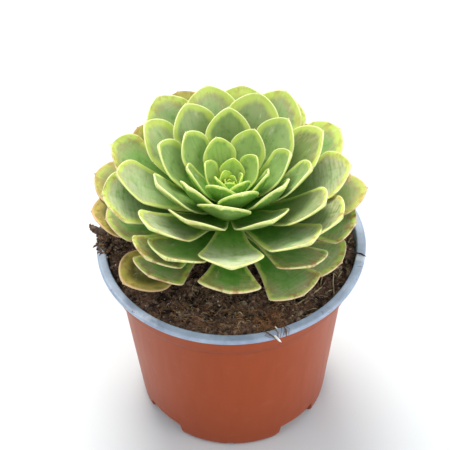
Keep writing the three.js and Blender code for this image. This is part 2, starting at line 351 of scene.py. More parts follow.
def collarLining():  # round the lip, over the rim and down to the shoulder
    wall, lip = pot["wall"], potHeight - pot["lipDrop"]
    line = [(rimRadius - wall + 0.2, lip), (rimRadius - 0.3, lip), (rimRadius - 0.06, lip + 0.15),
            (rimRadius, lip + 0.45)]
    line += arcPoints((rimRadius - 0.8, potHeight - 0.8), 0.8, 0, 90, 6)
    line += [(rimRadius - 1.6, potHeight - 0.05), (rimRadius - 2.5, potHeight - 0.12)]
    line += arcPoints((collarTop - wall + 0.7, potHeight - 0.75), 0.7, 90, 180, 5)
    line += [(collarTop - wall - 0.1, potHeight - 2)]
    for share in np.linspace(0.75, 0.1, 5):
        line.append((collarFoot - wall + (collarTop - collarFoot) * share,
                     shoulderTop + (potHeight - shoulderTop) * share))
    line += [(collarFoot - wall, shoulderTop + 0.4), (pot["topRadius"] - wall, shoulderFoot + 0.3)]
    return line


def potProfiles():  # radius and height on a foot and in a gap, and where the lining starts
    wall, lift, gapTop = pot["wall"], pot["floorLift"], pot["gapHeight"]
    outer, inside = wallRadius(gapTop + 0.6), pot["footRadius"] - wall
    foot = [(radius, lift) for radius in pot["floorRings"]]
    gap = list(foot)
    foot += [(ringInner - 1.4, lift), (ringInner - 0.7, lift * 0.8), (ringInner - 0.2, 0.5),
             (ringInner + 0.5, 0), (ringOuter - 0.6, 0)]
    foot += [(ringOuter + pot["footCorner"] * sin(a), cornerRise * (1 - cos(a)))
             for a in np.radians([12, 30, 48, 66, 90])]
    gap += [(pocketInner - 1.2, lift), (pocketInner - 0.4, lift + 0.3), (pocketInner, lift + 1.2),
            (pocketInner, gapTop - 1), (pocketInner + 1, gapTop), (pocketInner + 2.5, gapTop),
            (outer - 1.2, gapTop), (outer - 0.5, gapTop + 0.05), (outer - 0.12, gapTop + 0.25),
            (outer, gapTop + 0.6)]
    shared = [(wallRadius(height), height) for height in np.linspace(9, shoulderFoot - 0.8, 16)]
    shared += collarOutside()
    linerStart = len(foot) + len(shared)
    shared += collarLining()
    shared += [(wallRadius(height) - wall, height) for height in np.linspace(shoulderFoot - 3, 10.5, 9)]
    foot += shared + [(inside, floorTop + 3), (inside - 0.4, floorTop + 1.6), (inside - 1.2, floorTop + 0.6),
                      (ringOuter, floorTop), (ringInner, floorTop)]
    gap += shared + [(outer - wall - 0.3, gapTop + wall + 0.3), (outer - wall - 1, gapTop + wall),
                     (pocketInner - wall + 0.8, gapTop + wall), (pocketInner - wall, gapTop + wall - 0.8),
                     (pocketInner - wall, floorTop + 0.4)]
    middle = [(radius, floorTop) for radius in reversed(pot["floorRings"])]
    return np.array(foot + middle), np.array(gap + middle), linerStart


def potAngles():  # even steps, and closer ones at the edges of gaps and notches
    angles = set(np.arange(0, 360, pot["turnStep"]))
    for quarter in range(4):
        centre = pot["gapTurn"] + 90 * quarter
        for step in (-1, -0.5, 0, 0.5, 1):
            angles.add(centre + 45 + step * pot["notchAngle"])
            for side in (-1, 1):
                angles.add(centre + side * (pot["gapAngle"] / 2 + step * pot["gapEdge"] / 2))
    ordered = sorted(a % 360 for a in angles)
    return [a for a, b in zip(ordered, ordered[1:] + [ordered[0] + 360]) if b - a > 0.2]


def makePot():
    foot, gap, linerStart = potProfiles()
    angles = potAngles()
    points = []
    for angle in angles:
        fromGap = abs((angle - pot["gapTurn"] + 45) % 90 - 45)
        share = smoothStep((pot["gapAngle"] / 2 - fromGap) / pot["gapEdge"] + 0.5)
        profile = foot + (gap - foot) * share
        notch = min(1, max(0, 2 - 2 * (45 - fromGap) / pot["notchAngle"])) * pot["notchHeight"]
        low = (profile[:, 1] < pot["notchHeight"]) & (profile[:, 0] > ringInner - 0.5)
        profile[low, 1] = np.maximum(profile[low, 1], notch)
        points += [polar(radius, radians(angle), height) for radius, height in profile]
    rows, columns = len(foot), len(angles)
    below, above = len(points), len(points) + 1
    points += [(0, 0, pot["floorLift"]), (0, 0, floorTop)]
    pairs = [(j * rows, ((j + 1) % columns) * rows) for j in range(columns)]
    faces = [(a + k, b + k, b + k + 1, a + k + 1) for a, b in pairs for k in range(rows - 1)]
    looks = [0 if k < linerStart else 1 for k in range(rows - 1)] * columns + [0, 1] * columns
    for a, b in pairs:
        faces += [(below, b, a), (above, a + rows - 1, b + rows - 1)]
    shell = makePiece("potShell", points, faces, [terracottaPolystyrene(), blueGreyPolystyrene()],
                      looks)
    cutDrainHoles(shell)
    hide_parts("nursery_pot")


def cutDrainHoles(shell):
    drills, sides = [], 32
    for i in range(pot["holes"]):
        x, y = polar(pot["holeCircle"], 2 * pi * (i + 0.5) / pot["holes"])
        ring = [polar(pot["holeRadius"], turn) for turn in evenTurns(sides)]
        rings = [(x + a, y + b, z) for z in pot["drillHeights"] for a, b in ring]
        drills.append((rings, sleeveFaces(2, sides)))
    points, faces = joinParts(drills)
    mesh = bpy.data.meshes.new("drills")
    mesh.from_pydata((points * mm).tolist(), [], faces)
    drill = addObject("drills", mesh)
    cut = shell.modifiers.new("drainHoles", "BOOLEAN")
    cut.object = drill
    cut.solver = "EXACT"
    bpy.context.view_layer.update()
    evaluated = shell.evaluated_get(bpy.context.evaluated_depsgraph_get())
    shell.data = bpy.data.meshes.new_from_object(evaluated)
    shell.modifiers.clear()
    bpy.data.objects.remove(drill)


makePot()
print("pot made")


# peat compost: finer crumb on the CAD soil's surface, lower where it has shrunk from the wall
soil = {
    "seed": 4,
    "clearance": 0.35,
    "drop": 3,
    "mound": 2.5,
    "waves": [(0.8, 20, 23), (0.5, 57, 12)],  # height, and spacing along X and Y
    "grain": [(11, 1.2), (4.5, 1.0), (1.7, 0.8)],  # size and height of the lumps
    "calm": {"start": 0.8, "width": 0.12, "share": 0.3},  # the lumps are lower at the edge
    "shrink": {"angle": -42, "spread": 40, "drop": 3.4, "start": 0.66, "width": 0.26},
    "rings": 100,
    "segments": 360,
    "patterns": {"crumbs": ((1.5, 1.5, 1.5), 8), "clods": ((5, 5, 5), 5), "fibrous": ((4, 4, 4), 8)},
    "coats": [
        ("#48382f",),
        ("#7c6756", 1, ("crumbs", 0.45, 0.62)),
        ("#87624a", 0.6, ("clods", 0.52, 0.66)),
        ("#9b836c", 0.85, ("tone", 0.6, 1)),
        ("#120c0a", 0.9, ("clods", 0.48, 0.38)),
        ("#b09a80", 0.8, ("fibrous", 0.58, 0.68)),
    ],
    "bump": ("crumbs", 0.8, 0.4),
    # how many, share of the soil's radius, size, how far small ones prevail, lift for the size, and stretch
    "loose": {
        "crumbs": (4200, 1, (0.25, 1.1), 2.2, 0.15),
        "clods": (60, 0.93, (1, 1.9), 1, -0.1),
        "shreds": (1500, 0.97, (0.16, 0.36), 1, 1, (3, 9)),
    },
    "flecks": (240, 0.97, (0.15, 0.45), 1, 0.6),
    "lump": {"dent": 0.45, "length": (0.7, 1.4), "height": (0.5, 0.9), "tilt": 0.6},
    # the clump on the rim, and its finger: degrees, radius and height above the rim
    "spill": {"count": 900, "angle": 178, "scatter": 4.2, "halfWidth": 9, "radius": 55, "reach": 3,
              "onRim": 53, "heap": 2, "crumbs": (0.25, 0.75), "shreds": (0.1, 0.22), "shredEvery": 3,
              "longer": 5, "finger": [(177, 55.5, 0.8), (174.6, 63, 3.9)], "fingerShare": 0.12,
              "fingerWidth": 0.8},
}
soilRadius = collarTop - pot["wall"] - 3 * soil["clearance"]


def peatCompost():
    # moist black peat: matt and dark brown, with lighter fibrous crumbs
    material, tree, shader = newMaterial("peatCompost", {"Roughness": 0.95, "Specular IOR Level": 0.15})
    tone = addNode(tree, "Attribute", {"attribute_name": "crumbTone"}).outputs["Vector"]
    fields = {"tone": addNode(tree, "SeparateXYZ", links={0: tone}).outputs[0]}
    paintSurface(tree, shader, soil, addNode(tree, "TexCoord").outputs["Object"], fields)
    return material


def plainOrganic(name, deep, pale, roughness):  # for what is too small to show more than cloudy tones
    finish = {"patterns": {"tones": ((3, 3, 3), 3)}, "coats": [(deep,), (pale, 1.0, ("tones", 0.35, 0.65))]}
    return paintedMaterial(name, {"Roughness": roughness}, finish)


def soilHeight(x, y):
    distance = hypot(x, y) / rimRadius
    height = potHeight - soil["drop"] + soil["mound"] * (1 - distance * distance)
    for wave, spacingX, spacingY in soil["waves"]:
        height += wave * sin(2 * pi * x / spacingX + 1) * cos(2 * pi * y / spacingY)
    shrink, calm = soil["shrink"], soil["calm"]
    away = abs((degrees(atan2(y, x)) - shrink["angle"] + 180) % 360 - 180)
    outward = smoothStep((distance - shrink["start"]) / shrink["width"])
    height -= shrink["drop"] * float(smoothStep(1 - away / shrink["spread"]) * outward)
    lumps = 1 - calm["share"] * float(smoothStep((distance - calm["start"]) / calm["width"]))
    for size, depth in soil["grain"]:
        height += depth * noise.noise(Vector((x, y, soil["seed"])) / size) * lumps
    return height


def makeSoil():
    inset = pot["wall"] + soil["clearance"]
    pocketTop = pot["gapHeight"] + pot["wall"]
    sides = [(pocketInner - inset, floorTop + soil["clearance"]), (pocketInner - inset, pocketTop + 0.4),
             (pot["footRadius"] - inset, pocketTop + 1.2), (pot["topRadius"] - inset, shoulderFoot),
             (collarFoot - inset, shoulderTop + 0.3), (soilRadius - 0.5, potHeight - 9)]
    turns = evenTurns(soil["segments"])
    points = [polar(radius, turn, height) for radius, height in sides for turn in turns]
    for ring in range(soil["rings"], 0, -1):
        for turn in turns:
            x, y = polar(soilRadius * ring / soil["rings"], turn)
            points.append((x, y, soilHeight(x, y)))
    faces = sleeveFaces(len(sides) + soil["rings"], soil["segments"])
    body = makePiece("pottingSoil", points, faces, [peatCompost()])
    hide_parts("potting_soil")


def ballPoints():  # a small ball of 12 points, and its 20 faces
    golden = (1 + sqrt(5)) / 2
    first = [(-1, golden, 0), (1, golden, 0), (-1, -golden, 0), (1, -golden, 0)]
    corners = np.concatenate([np.roll(first, shift, axis=1) for shift in range(3)])
    faces = [(0, 11, 5), (0, 5, 1), (0, 1, 7), (0, 7, 10), (0, 10, 11), (1, 5, 9), (5, 11, 4), (11, 10, 2),
             (10, 7, 6), (7, 1, 8), (3, 9, 4), (3, 4, 2), (3, 2, 6), (3, 6, 8), (3, 8, 9), (4, 9, 5),
             (2, 4, 11), (6, 2, 10), (8, 6, 7), (9, 8, 1)]
    return corners / hypot(1, golden), faces


def crumb(draw, centre, size, longer=1.0):  # a small ball, dented, drawn out and turned
    corners, faces = ballPoints()
    lump = soil["lump"]
    shape = corners * np.array([[1 + draw.uniform(-lump["dent"], lump["dent"])] for _ in corners])
    length = size * draw.uniform(*lump["length"]) * longer
    shape = shape * np.array([length, size, size * draw.uniform(*lump["height"])])
    heading = Matrix.Rotation(draw.uniform(0, 2 * pi), 3, "Z")
    tilt = Matrix.Rotation(draw.uniform(-lump["tilt"], lump["tilt"]), 3, "X")
    tone = np.tile([draw.random(), 0.0, 0.0], (len(corners), 1))
    return shape @ np.array(heading @ tilt).T + np.array(centre), faces, tone


def strewn(draw, count, reach, size, small, lift, longer=None):  # crumbs spread over the soil
    parts = []
    for _ in range(count):
        radius = soilRadius * reach * sqrt(draw.random())
        x, y = polar(radius, draw.uniform(0, 2 * pi))
        width = size[0] + (size[1] - size[0]) * draw.random() ** small
        stretch = draw.uniform(*longer) if longer else 1.0
        parts.append(crumb(draw, (x, y, soilHeight(x, y) + width * lift), width, stretch))
    return parts


def spillPlace(draw):  # on the heap over the rim, or on the finger that juts out
    spill = soil["spill"]
    turn = spill["angle"] + draw.gauss(0, spill["scatter"])
    top = spill["heap"] * (1 - min(1, abs(turn - spill["angle"]) / spill["halfWidth"]))
    radius = min(rimRadius - 0.4, spill["radius"] + draw.gauss(0, spill["reach"]))
    height = draw.uniform(-0.3, 0.3 + top) if radius > spill["onRim"] else -1 + top
    if draw.random() < spill["fingerShare"]:
        share, width = draw.random(), spill["fingerWidth"]
        ends = zip(*spill["finger"])
        turn, radius, height = (a + (b - a) * share + draw.uniform(-width, width) for a, b in ends)
    return polar(radius, radians(turn), potHeight + height)


def makeCrumbs():
    draw, spill = random.Random(soil["seed"]), soil["spill"]
    parts = [part for kind in soil["loose"].values() for part in strewn(draw, *kind)]
    for number in range(spill["count"]):
        shred = number % spill["shredEvery"] == 0
        size = draw.uniform(*spill["shreds" if shred else "crumbs"])
        parts.append(crumb(draw, spillPlace(draw), size, spill["longer"] if shred else 1.0))
    points, faces, tone = joinParts(parts)
    makePiece("peatCrumbs", points, faces, [bpy.data.materials["peatCompost"]],
              fields={"crumbTone": tone}, smooth=False)
    points, faces, _ = joinParts(strewn(draw, *soil["flecks"]))
    grit = plainOrganic("perliteGrit", "#9a8f80", "#d9d2c4", 0.8)  # puffed volcanic glass: dull off-white
    makePiece("perliteFlecks", points, faces, [grit], smooth=False)


makeSoil()
makeCrumbs()
print("soil made")


# coir and root threads on the peat, and the few that hang over the rim
threads = {
    "seed": 9,
    "steps": 9,
    # on the soil: how many, length, radius, degrees round the pot, share of the soil's radius, along the rim
    # or not, curl, and two tones
    "strewn": {
        "paleFibres": (230, (1.5, 6), (0.07, 0.17), (0, 360), (0.1, 0.96), 0, 0.08, "#8d734c", "#d6c4a0"),
        "brownFibres": (1700, (1.5, 6), (0.06, 0.13), (0, 360), (0.1, 0.97), 0, 0.1, "#4a2c1a", "#936a4b"),
        "coirBundle": (130, (3, 11), (0.06, 0.15), (228, 300), (0.75, 0.97), 1, 0.08, "#5a3519", "#b58a5c"),
        "rimTuft": (150, (2, 6), (0.07, 0.14), (279, 293), (0.84, 0.99), 1, 0.22, "#6a4226", "#b98a5e"),
        "straw": (18, (4, 11), (0.16, 0.32), (-62, 12), (0.8, 0.98), 1, 0.02, "#8c7450", "#d6c49c"),
    },
    # curly strands of the tuft that reach out over the rim
    "tuft": {"count": 7, "turn": (-78, -67), "wander": 1.6, "reach": (53, 56, 59, 61), "droop": (0.2, 2.5),
             "arch": (0.5, 2), "onRim": (0.4, 1.2), "radius": 0.13, "tones": ("#4f3320", "#8a6242")},
    # over the rim: thickness, two tones, and the way: degrees, radius and height above the rim
    "overRim": {
        "whiteRoot": (0.5, "#dcdad2", "#fdfcf9", [
            (-73.8, 59.3, 0.4), (-73.4, 60.4, 0.3), (-72.4, 61, -1.2), (-71.2, 61.2, -3.4)]),
        "whiteStub": (0.3, "#cfccc0", "#f4f1e6", [
            (-72.3, 55.4, 1.2), (-71.8, 56.2, 1), (-71.3, 57.2, 0.6)]),
        "brownRoot": (0.25, "#4f3722", "#86603c", [
            (-79, 53, -2), (-77.4, 55.5, 0.3), (-75.5, 58.5, 0.7), (-74, 60.4, 0.2), (-73.2, 61, -1.4)]),
        "curlyRoot": (0.22, "#4a3524", "#6f543c", [
            (-71, 52, -1), (-69, 55.5, 1.4), (-68.4, 58.5, 0.9), (-68.9, 60.5, 0.2), (-69.2, 61, -1.6)]),
        "darkFibre": (0.34, "#1f1711", "#3a2c20", [
            (-10.3, 53, -1.5), (-10.7, 55.5, 0), (-11.2, 58, 0.45), (-12.4, 60.6, 0.15)]),
        "peatFinger": (1.7, "#33241b", "#6d543f", [
            (177.5, 54, 0.3), (176.4, 57.5, 1.6), (175.4, 60.5, 2.8), (174.5, 63.7, 4.1)]),
        "peatShred": (0.5, "#3c291c", "#7a5c41", [
            (183, 56, 0.6), (182.6, 58.5, 1), (182.4, 60.4, 0.6), (182.8, 61.8, -0.3)]),
    },
}


def threadTube(line, radius, sides=4):  # a thin closed tube with pointed ends
    line = np.asarray(line, float)
    along = np.gradient(line, axis=0)
    along /= np.linalg.norm(along, axis=1)[:, None]
    level = np.cross(along, (0.1, 0.2, 1.0))
    level /= np.linalg.norm(level, axis=1)[:, None]
    upward = np.cross(level, along)
    share = np.linspace(0, 1, len(line))
    thick = radius * np.clip(4 * np.minimum(share + 0.04, 1.04 - share), 0.15, 1)
    rings = [line + thick[:, None] * (level * cos(t) + upward * sin(t)) for t in evenTurns(sides)]
    return np.stack(rings, axis=1).reshape(-1, 3), sleeveFaces(len(line), sides)


def looseThread(draw, lengths, turns, reach, aligned, curl):  # a low arch over the soil
    turn = radians(draw.uniform(*turns))
    x, y = polar(soilRadius * sqrt(draw.uniform(reach[0] ** 2, reach[1] ** 2)), turn)
    heading = draw.uniform(0, 2 * pi)
    if aligned:
        heading = turn + pi / 2 + draw.gauss(0, 0.4)
    bend, length = draw.gauss(0, curl), draw.uniform(*lengths)
    arch = draw.uniform(0.1, 0.7 + curl * 6)
    line, steps = [], threads["steps"]
    for k in range(steps):
        rise = arch * sin(pi * k / (steps - 1))
        if hypot(x, y) < soilRadius - 0.5:
            line.append((x, y, soilHeight(x, y) + 0.1 + rise))
        x += length / steps * cos(heading)
        y += length / steps * sin(heading)
        heading += bend + draw.gauss(0, curl)
    return line


def wayPoints(way, count):  # evenly spaced on a way over the rim
    knots = np.array([polar(radius, radians(turn), potHeight + height) for turn, radius, height in way])
    share, fine = np.linspace(0, 1, len(knots)), np.linspace(0, 1, count)
    return np.stack([np.interp(fine, share, column) for column in knots.T], axis=1)


def tuftStrand(draw):
    tuft = threads["tuft"]
    turn, droop = draw.uniform(*tuft["turn"]), draw.uniform(*tuft["droop"])
    turns = [turn + draw.gauss(0, tuft["wander"]) for _ in range(4)]
    heights = (-1.0, draw.uniform(*tuft["arch"]), draw.uniform(*tuft["onRim"]), -droop)
    return threadTube(wayPoints(zip(turns, tuft["reach"], heights), 10), tuft["radius"])


def makeThread(name, parts, tones, roughness):
    points, faces = joinParts(parts)
    makePiece(name, points, faces, [plainOrganic(name, *tones, roughness)])


def makeThreads():
    draw = random.Random(threads["seed"])
    for name, (count, lengths, radii, turns, reach, aligned, curl, *tones) in threads["strewn"].items():
        parts = []
        for _ in range(count):
            line = looseThread(draw, lengths, turns, reach, aligned, curl)
            if len(line) > 3:
                parts.append(threadTube(line, draw.uniform(*radii)))
        makeThread(name, parts, tones, 0.85)  # coir: matt and cloudy brown
    strands = [tuftStrand(draw) for _ in range(threads["tuft"]["count"])]
    makeThread("tuftStrands", strands, threads["tuft"]["tones"], 0.85)
    for name, (radius, *tones, way) in threads["overRim"].items():
        tube = threadTube(wayPoints(way, 14), radius, 6)
        makeThread(name, [tube], tones, 0.7)  # root skin: slightly waxy


makeThreads()
print("fibres made")


# the plant stands in the pot and leans as in the CAD model
plant = {
    "x": -0.8,
    "y": 4.8,
    "rise": 2.4,
    "leanForward": 3,
    "leanRight": 1.5,
    "stemRadius": 6,
    "stemDepth": 28,
    "stemSides": 48,
    "stemRings": 60,
    "scars": {"rows": 3, "pitch": 2.4, "height": 0.35},
    "crownFoot": 2,
    "crownTop": 22.3,
    "crownRadius": 8,
    "crownOutline": [(6.4, 2), (8, 5), (5.2, 12), (2.2, 22), (0.3, 25)],
    "patterns": {"cork": ((2, 2, 2), 6)},
    "coats": [("#4a3a28",), ("#85704f", 1.0, ("cork", 0.35, 0.65))],
    "bump": ("cork", 0.6, 0.3),
}
plantPlace = (Matrix.Translation((plant["x"], plant["y"], potHeight + plant["rise"]))
              @ Matrix.Rotation(radians(plant["leanForward"]), 4, "X")
              @ Matrix.Rotation(radians(plant["leanRight"]), 4, "Y"))


def placed(points):  # from the plant's own frame to the pot's
    return np.asarray(points) @ np.array(plantPlace)[:3, :3].T + np.array(plantPlace)[:3, 3]


def stemBark():
    # corky bark over a woody stem: matt, grey-brown, with paler patches of cork
    return paintedMaterial("stemBark", {"Roughness": 0.85}, plant)


def makeStem():  # a tapering stem whose leaf scars are low ridges on a spiral
    rings, sides, scars = plant["stemRings"], plant["stemSides"], plant["scars"]
    points = []
    for k in range(rings):
        share = k / (rings - 1)
        height = -plant["stemDepth"] + (plant["crownFoot"] + plant["stemDepth"] - 0.4) * share
        taper = 0.5 + 0.5 * min(1, share * 1.8) ** 0.6
        for turn in evenTurns(sides):
            ridge = max(0, sin(scars["rows"] * turn + scars["pitch"] * height)) ** 3 * scars["height"]
            points.append(polar(plant["stemRadius"] * taper + ridge, turn, height))
    wood = makePiece("stemWood", placed(points), sleeveFaces(rings, sides), [stemBark()])
    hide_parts("stem")


makeStem()
print("stem made")


# the leaves: the spiral and growth of the CAD model, with finer blades
rosette = {
    "seed": 21,
    "leafCount": 66,
    "heartLeaves": 6,
    "goldenAngle": 137.55,
    "firstAngle": 269,
    "lost": [47],
    "rows": (16, 14),  # up to the widest place, and from there to the tip
    "columns": 17,
    "midrib": 3.0,
    "margin": 0.7,
    "marginRound": 0.45,
    "marginWave": 0.675,
    "flankWave": 0.09,
    "swell": 0.3,
    "swellSize": 11,
    "grooveDepth": 0.35,
    "grooveWidth": 0.14,
    "thinnest": 0.45,
    "tipThinning": 0.45,
    "fullThicknessWidth": 22,
    "firmWidth": 20,
    "wedgeFoot": 0.34,
    "flankArc": 70,
    "tipFullness": (1.6, 2.1),
    "tipRoundness": 0.66,
    "pointLength": 0.5,
    "pointWidth": 0.9,
    "pointTaper": 1.3,
    "fullPointWidth": 8,
    "footReach": (0.1, 0.65),
    "sway": 0.035,
    "twist": 5,
    # by age; cupping lifts the margins, and flare puts off the widening
    "growth": {
        "age": [-6, 0, 4, 9, 16, 24, 34, 46, 56, 67],
        "length": [6, 11, 17, 26.5, 38, 47.5, 55, 57.5, 55, 50],
        "width": [3.2, 6.8, 11.4, 15.4, 20, 24, 26.5, 26.5, 26.5, 26],
        "rise": [89, 82, 68, 58, 51, 43.5, 34.5, 24, 13.5, 3],
        "curl": [10, 20, 30, 38, 42, 34, 25, 22, 22, 20],
        "cupping": [0.4, 0.35, 0.3, 0.25, 0.22, 0.18, 0.14, 0.11, 0.06, 0.03],
        "widest": [0.66, 0.66, 0.66, 0.68, 0.71, 0.75, 0.79, 0.83, 0.87, 0.88],
        "flare": [1, 1, 1, 1.1, 1.2, 1.5, 2, 2.8, 4, 4.4],
    },
    # out of line with the spiral: degrees of turn and lift, stretch, degrees of roll, how much rounder
    "strays": {
        15: (-4, -1), 18: (4, 0), 19: (-4, 0), 21: (2, 1), 23: (0, 0, 0.95, -9), 24: (6, 2),
        26: (2, -3, 0.94, 4), 27: (0, 2), 28: (0, 1), 29: (5, 1), 31: (0, -2), 32: (2, -3), 33: (7, 3),
        34: (-3, -9, 1.04), 35: (-4, 3), 36: (0, -1), 37: (9, 1), 38: (0, 0, 0.97), 39: (2, -2), 40: (1, 3),
        41: (-5, 2), 42: (-11, -2), 44: (-10, 4, 1, 3), 45: (-3, 4, 1.02, -9), 48: (-7, 0, 0.92),
        49: (-7, -7, 1, 0, 0.04), 50: (-1, 2, 0.96), 51: (0, 0, 0.96), 52: (-8, -1, 0.92, -16),
        53: (6, -8, 1, 0, 0.08), 55: (5, 4, 1.02), 57: (-4, 0, 0.95), 58: (9, -11, 1, 0, 0.11),
        60: (6, -5, 0.96), 61: (7, 4, 1.08, 0, 0.04), 62: (0, 10, 1.01), 63: (-11, 8), 65: (0, 0, 0.98, -6),
        66: (2, 12, 1, 0, 0.04),
    },
    # from 0 to 1: how dry, how pale instead of dull olive, and how scuffed at the end; on leaf 34 this
    # paleness also paints the highlight on its curled-up end
    "dry": {43: 0.5, 48: 0.55, 49: 0.35, 50: 0.15, 53: 0.9, 58: 1, 61: 0.4, 62: 0.65, 63: 0.1, 65: 0.1,
            66: 0.1},
    "pale": {12: 1, 17: 0.15, 22: 0.2, 25: 0.15, 26: 0.3, 28: 0, 29: 0, 30: 1, 31: 0.05, 34: 1, 36: 0.1,
             37: 0.1, 39: 0.5, 44: 0, 45: 1, 50: 0, 52: 0.1, 55: 0.6, 57: 0.9, 60: 0.8, 66: 1},
    "scuffAndHighlight": {24: 0.2, 26: 0.3, 31: 0.3, 32: 0.5, 34: 1.0, 36: 0.5, 37: 0.6, 39: 0.5, 44: 0.4, 45: 0.6,
                49: 0.25, 60: 0.25, 63: 0.2, 65: 0.4},
    # across and along the blade
    "patterns": {"mottle": ((4.5, 4.5, 1), 5), "veins": ((1.1, 22, 1), 3), "bands": ((7, 1.2, 1), 5),
                 "blotch": ((5, 7, 1), 6), "scuffs": ((2, 7.5, 1), 7), "specks": ((0.9, 0.9, 1), 1),
                 "pores": ((0.6, 0.6, 1), 2)},
    "coats": [
        ("#80a455",),
        ("#e4fd8a", 1, ("age", 0.28, 0.06)),  # the heart
        ("#73984a", 0.7, ("age", 0.45, 0.8)),
        ("#a3bf72", 0.7, ("tint", 0.4, 1)),
        # painted highlight: a pale coat, stronger on the leaves towards the back light
        ("#c3d3a2", 0.6, ("share", 0.35, 0.95), ("age", 0.22, 0.45), ("paintedBacklight", 0, 1)),
        ("#5f9440", 0.6, ("under", 0, 1)),
        ("#84d83a", 0.95, ("share", 0.62, 0.12), ("age", 0.06, 0.2)),  # the necks
        ("#5aa02c", 0.85, ("age", 0.45, 0.75), ("share", 1.15, 0.6)),
        ("#a9c27c", 0.35, ("mottle", 0.48, 0.68)),
        ("#517f36", 0.55, ("mottle", 0.48, 0.3)),
        ("#4f7c3a", 0.3, ("veins", 0.5, 0.72)),
        ("#6d7a3c", 0.6, ("tint", 0.35, 0), ("share", 0.3, 0.7), ("age", 0.95, 0.7)),
        ("#cdc89c", 0.45, ("margin", 9, 3.5), ("share", 0.62, 0.86), ("age", 0.4, 0.6),
         ("bands", 0.42, 0.62)),
        ("#a38a58", 0.75, ("margin", 7, 2), ("share", 0.6, 0.8), ("age", 0.35, 0.6), ("blotch", 0.4, 0.6)),
        ("#b3a878", 0.7, ("share", 0.5, 0.85), ("age", 0.28, 0.5), ("scuffs", 0.46, 0.62), ("margin", 10, 4)),
        # pale scuffs at the ends, partly a painted highlight where a curled end catches the light
        ("#c6d1a6", 0.8, ("scuffAndHighlight", 0, 1), ("share", 0.45, 0.78), ("blotch", 0.36, 0.58)),
        ("#d0d8ba", 0.45, ("scuffAndHighlight", 0, 0.8), ("share", 0.5, 0.75), ("bands", 0.36, 0.6)),
        ("#cfe070", 0.95, ("edge", 1, 0.35)),  # the pale margins, drawn wider towards the light as a painted glow, and their thin rim
        ("#eef0ae", 0.85, ("margin", 0.9, 0.25), ("age", 0.05, 0.3)),
        ("#e6cba0", 0.8, ("margin", 1, 0.3), ("age", 0.6, 0.9)),
        ("#a87648", 0.7, ("blotch", 0.48, 0.62), ("margin", 4.5, 0.8), ("age", 0.3, 0.8),
         ("share", 0.5, 0.85)),
        ("#a79a45", 0.9, ("dryness", 0, 0.9), ("mottle", 0.15, 0.45)),  # leaves that dry out
        ("#c7b059", 0.8, ("dryness", 0.2, 0.9), ("margin", 6, 1.5), ("blotch", 0.36, 0.56)),
        # a darker olive centre on drying leaves: part their dry colour, part painted shade
        ("#4f4d1d", 0.9, ("dryness", 0.2, 0.8), ("margin", 2, 6.5)),
        ("#6e5a2c", 0.5, ("dryness", 0.2, 0.8), ("mottle", 0.5, 0.62)),
        ("#9a8e63", 0.6, ("dryness", 0.2, 0.8), ("blotch", 0.52, 0.66)),
        ("#dfb98c", 0.9, ("dryness", 0.1, 0.8), ("margin", 1.3, 0.4)),
        ("#dfe6d2", 0.4, ("scuffs", 0.6, 0.72)),
        ("#6a5238", 0.75, ("specks", 0.74, 0.79)),
    ],
    "gloss": ("scuffs", 0.3, 0.7, 0.36, 0.52),
}


def leafGrowth(age):  # a leaf's own values
    growth = rosette["growth"]
    leaf = {row: np.interp(age, growth["age"], values) for row, values in growth.items()}
    stray = rosette["strays"].get(age, ())
    turn, lift, stretch, roll, rounder = [*stray, *(0, 0, 1, 0, 0)[len(stray):]]
    leaf["widest"] -= rounder
    leaf["flare"] /= 1 + 6 * rounder
    leaf["length"] *= stretch
    leaf["curl"] = radians(leaf["curl"])
    leaf["start"] = radians(leaf["rise"] + lift) - leaf["curl"] / 2
    leaf["lean"] = radians(roll)
    leaf["angle"] = radians(rosette["firstAngle"] - rosette["goldenAngle"] * age + turn)
    leaf["share"] = (age + rosette["heartLeaves"]) / (rosette["leafCount"] + rosette["heartLeaves"])
    leaf["firm"] = np.clip(leaf["width"] / rosette["firmWidth"], 0.1, 1)
    leaf["point"] = min(1, leaf["width"] / 2 / rosette["fullPointWidth"])
    leaf["seed"] = age + 10
    return leaf


def leafRows(leaf):  # shares of the length, closer towards the tip and its point
    widest = leaf["widest"]
    toWidest, toTip = rosette["rows"]
    tip = widest + (1 - widest) * np.sin(np.linspace(0, pi / 2, toTip)[1:])
    point = 1 + rosette["pointLength"] * leaf["point"] / leaf["length"] * np.array([0.3, 0.65, 1.0])
    return np.concatenate([np.linspace(0, widest, toWidest), tip, point])


def leafShape(leaf, s, fullness):  # half the width in mm at shares of the length
    foot, arc = rosette["wedgeFoot"], radians(rosette["flankArc"])
    widest, halfWidth, length = leaf["widest"], leaf["width"] / 2, leaf["length"]
    wedge = foot + (1 - foot) * (np.sin(arc * np.clip(s / widest, 0, 1)) / sin(arc)) ** leaf["flare"]
    t = np.clip((s - widest) / (1 - widest), 0, 1)
    tip = (1 - t ** fullness) ** rosette["tipRoundness"]
    half = halfWidth * np.where(s < widest, wedge, tip)
    beyond = np.clip((s - 1) * length / (rosette["pointLength"] * leaf["point"]), 0, 1)
    narrowing = np.exp(-np.clip(1 - s, 0, 1) * length / rosette["pointTaper"])
    return half + rosette["pointWidth"] / 2 * leaf["point"] * narrowing * (1 - beyond) + 0.02


def leafColumns(half):  # from -1 to 1 across the top and back underneath
    inner = 1 - np.minimum(rosette["marginRound"], half * 0.5) / half  # where the margin rounds off
    rounding = [inner + (1 - inner) * sin(turn) for turn in np.radians([60, 30])]
    outer = np.ones_like(half)
    flat = inner * np.linspace(-1, 1, rosette["columns"])
    top = np.concatenate([-outer, *[-c for c in rounding], flat, *rounding[::-1], outer], axis=1)
    bottom = top[:, -2:0:-1]
    under = np.concatenate([np.zeros_like(top), np.ones_like(bottom)], axis=1)
    return np.concatenate([top, bottom], axis=1), under, inner, top.shape[1]


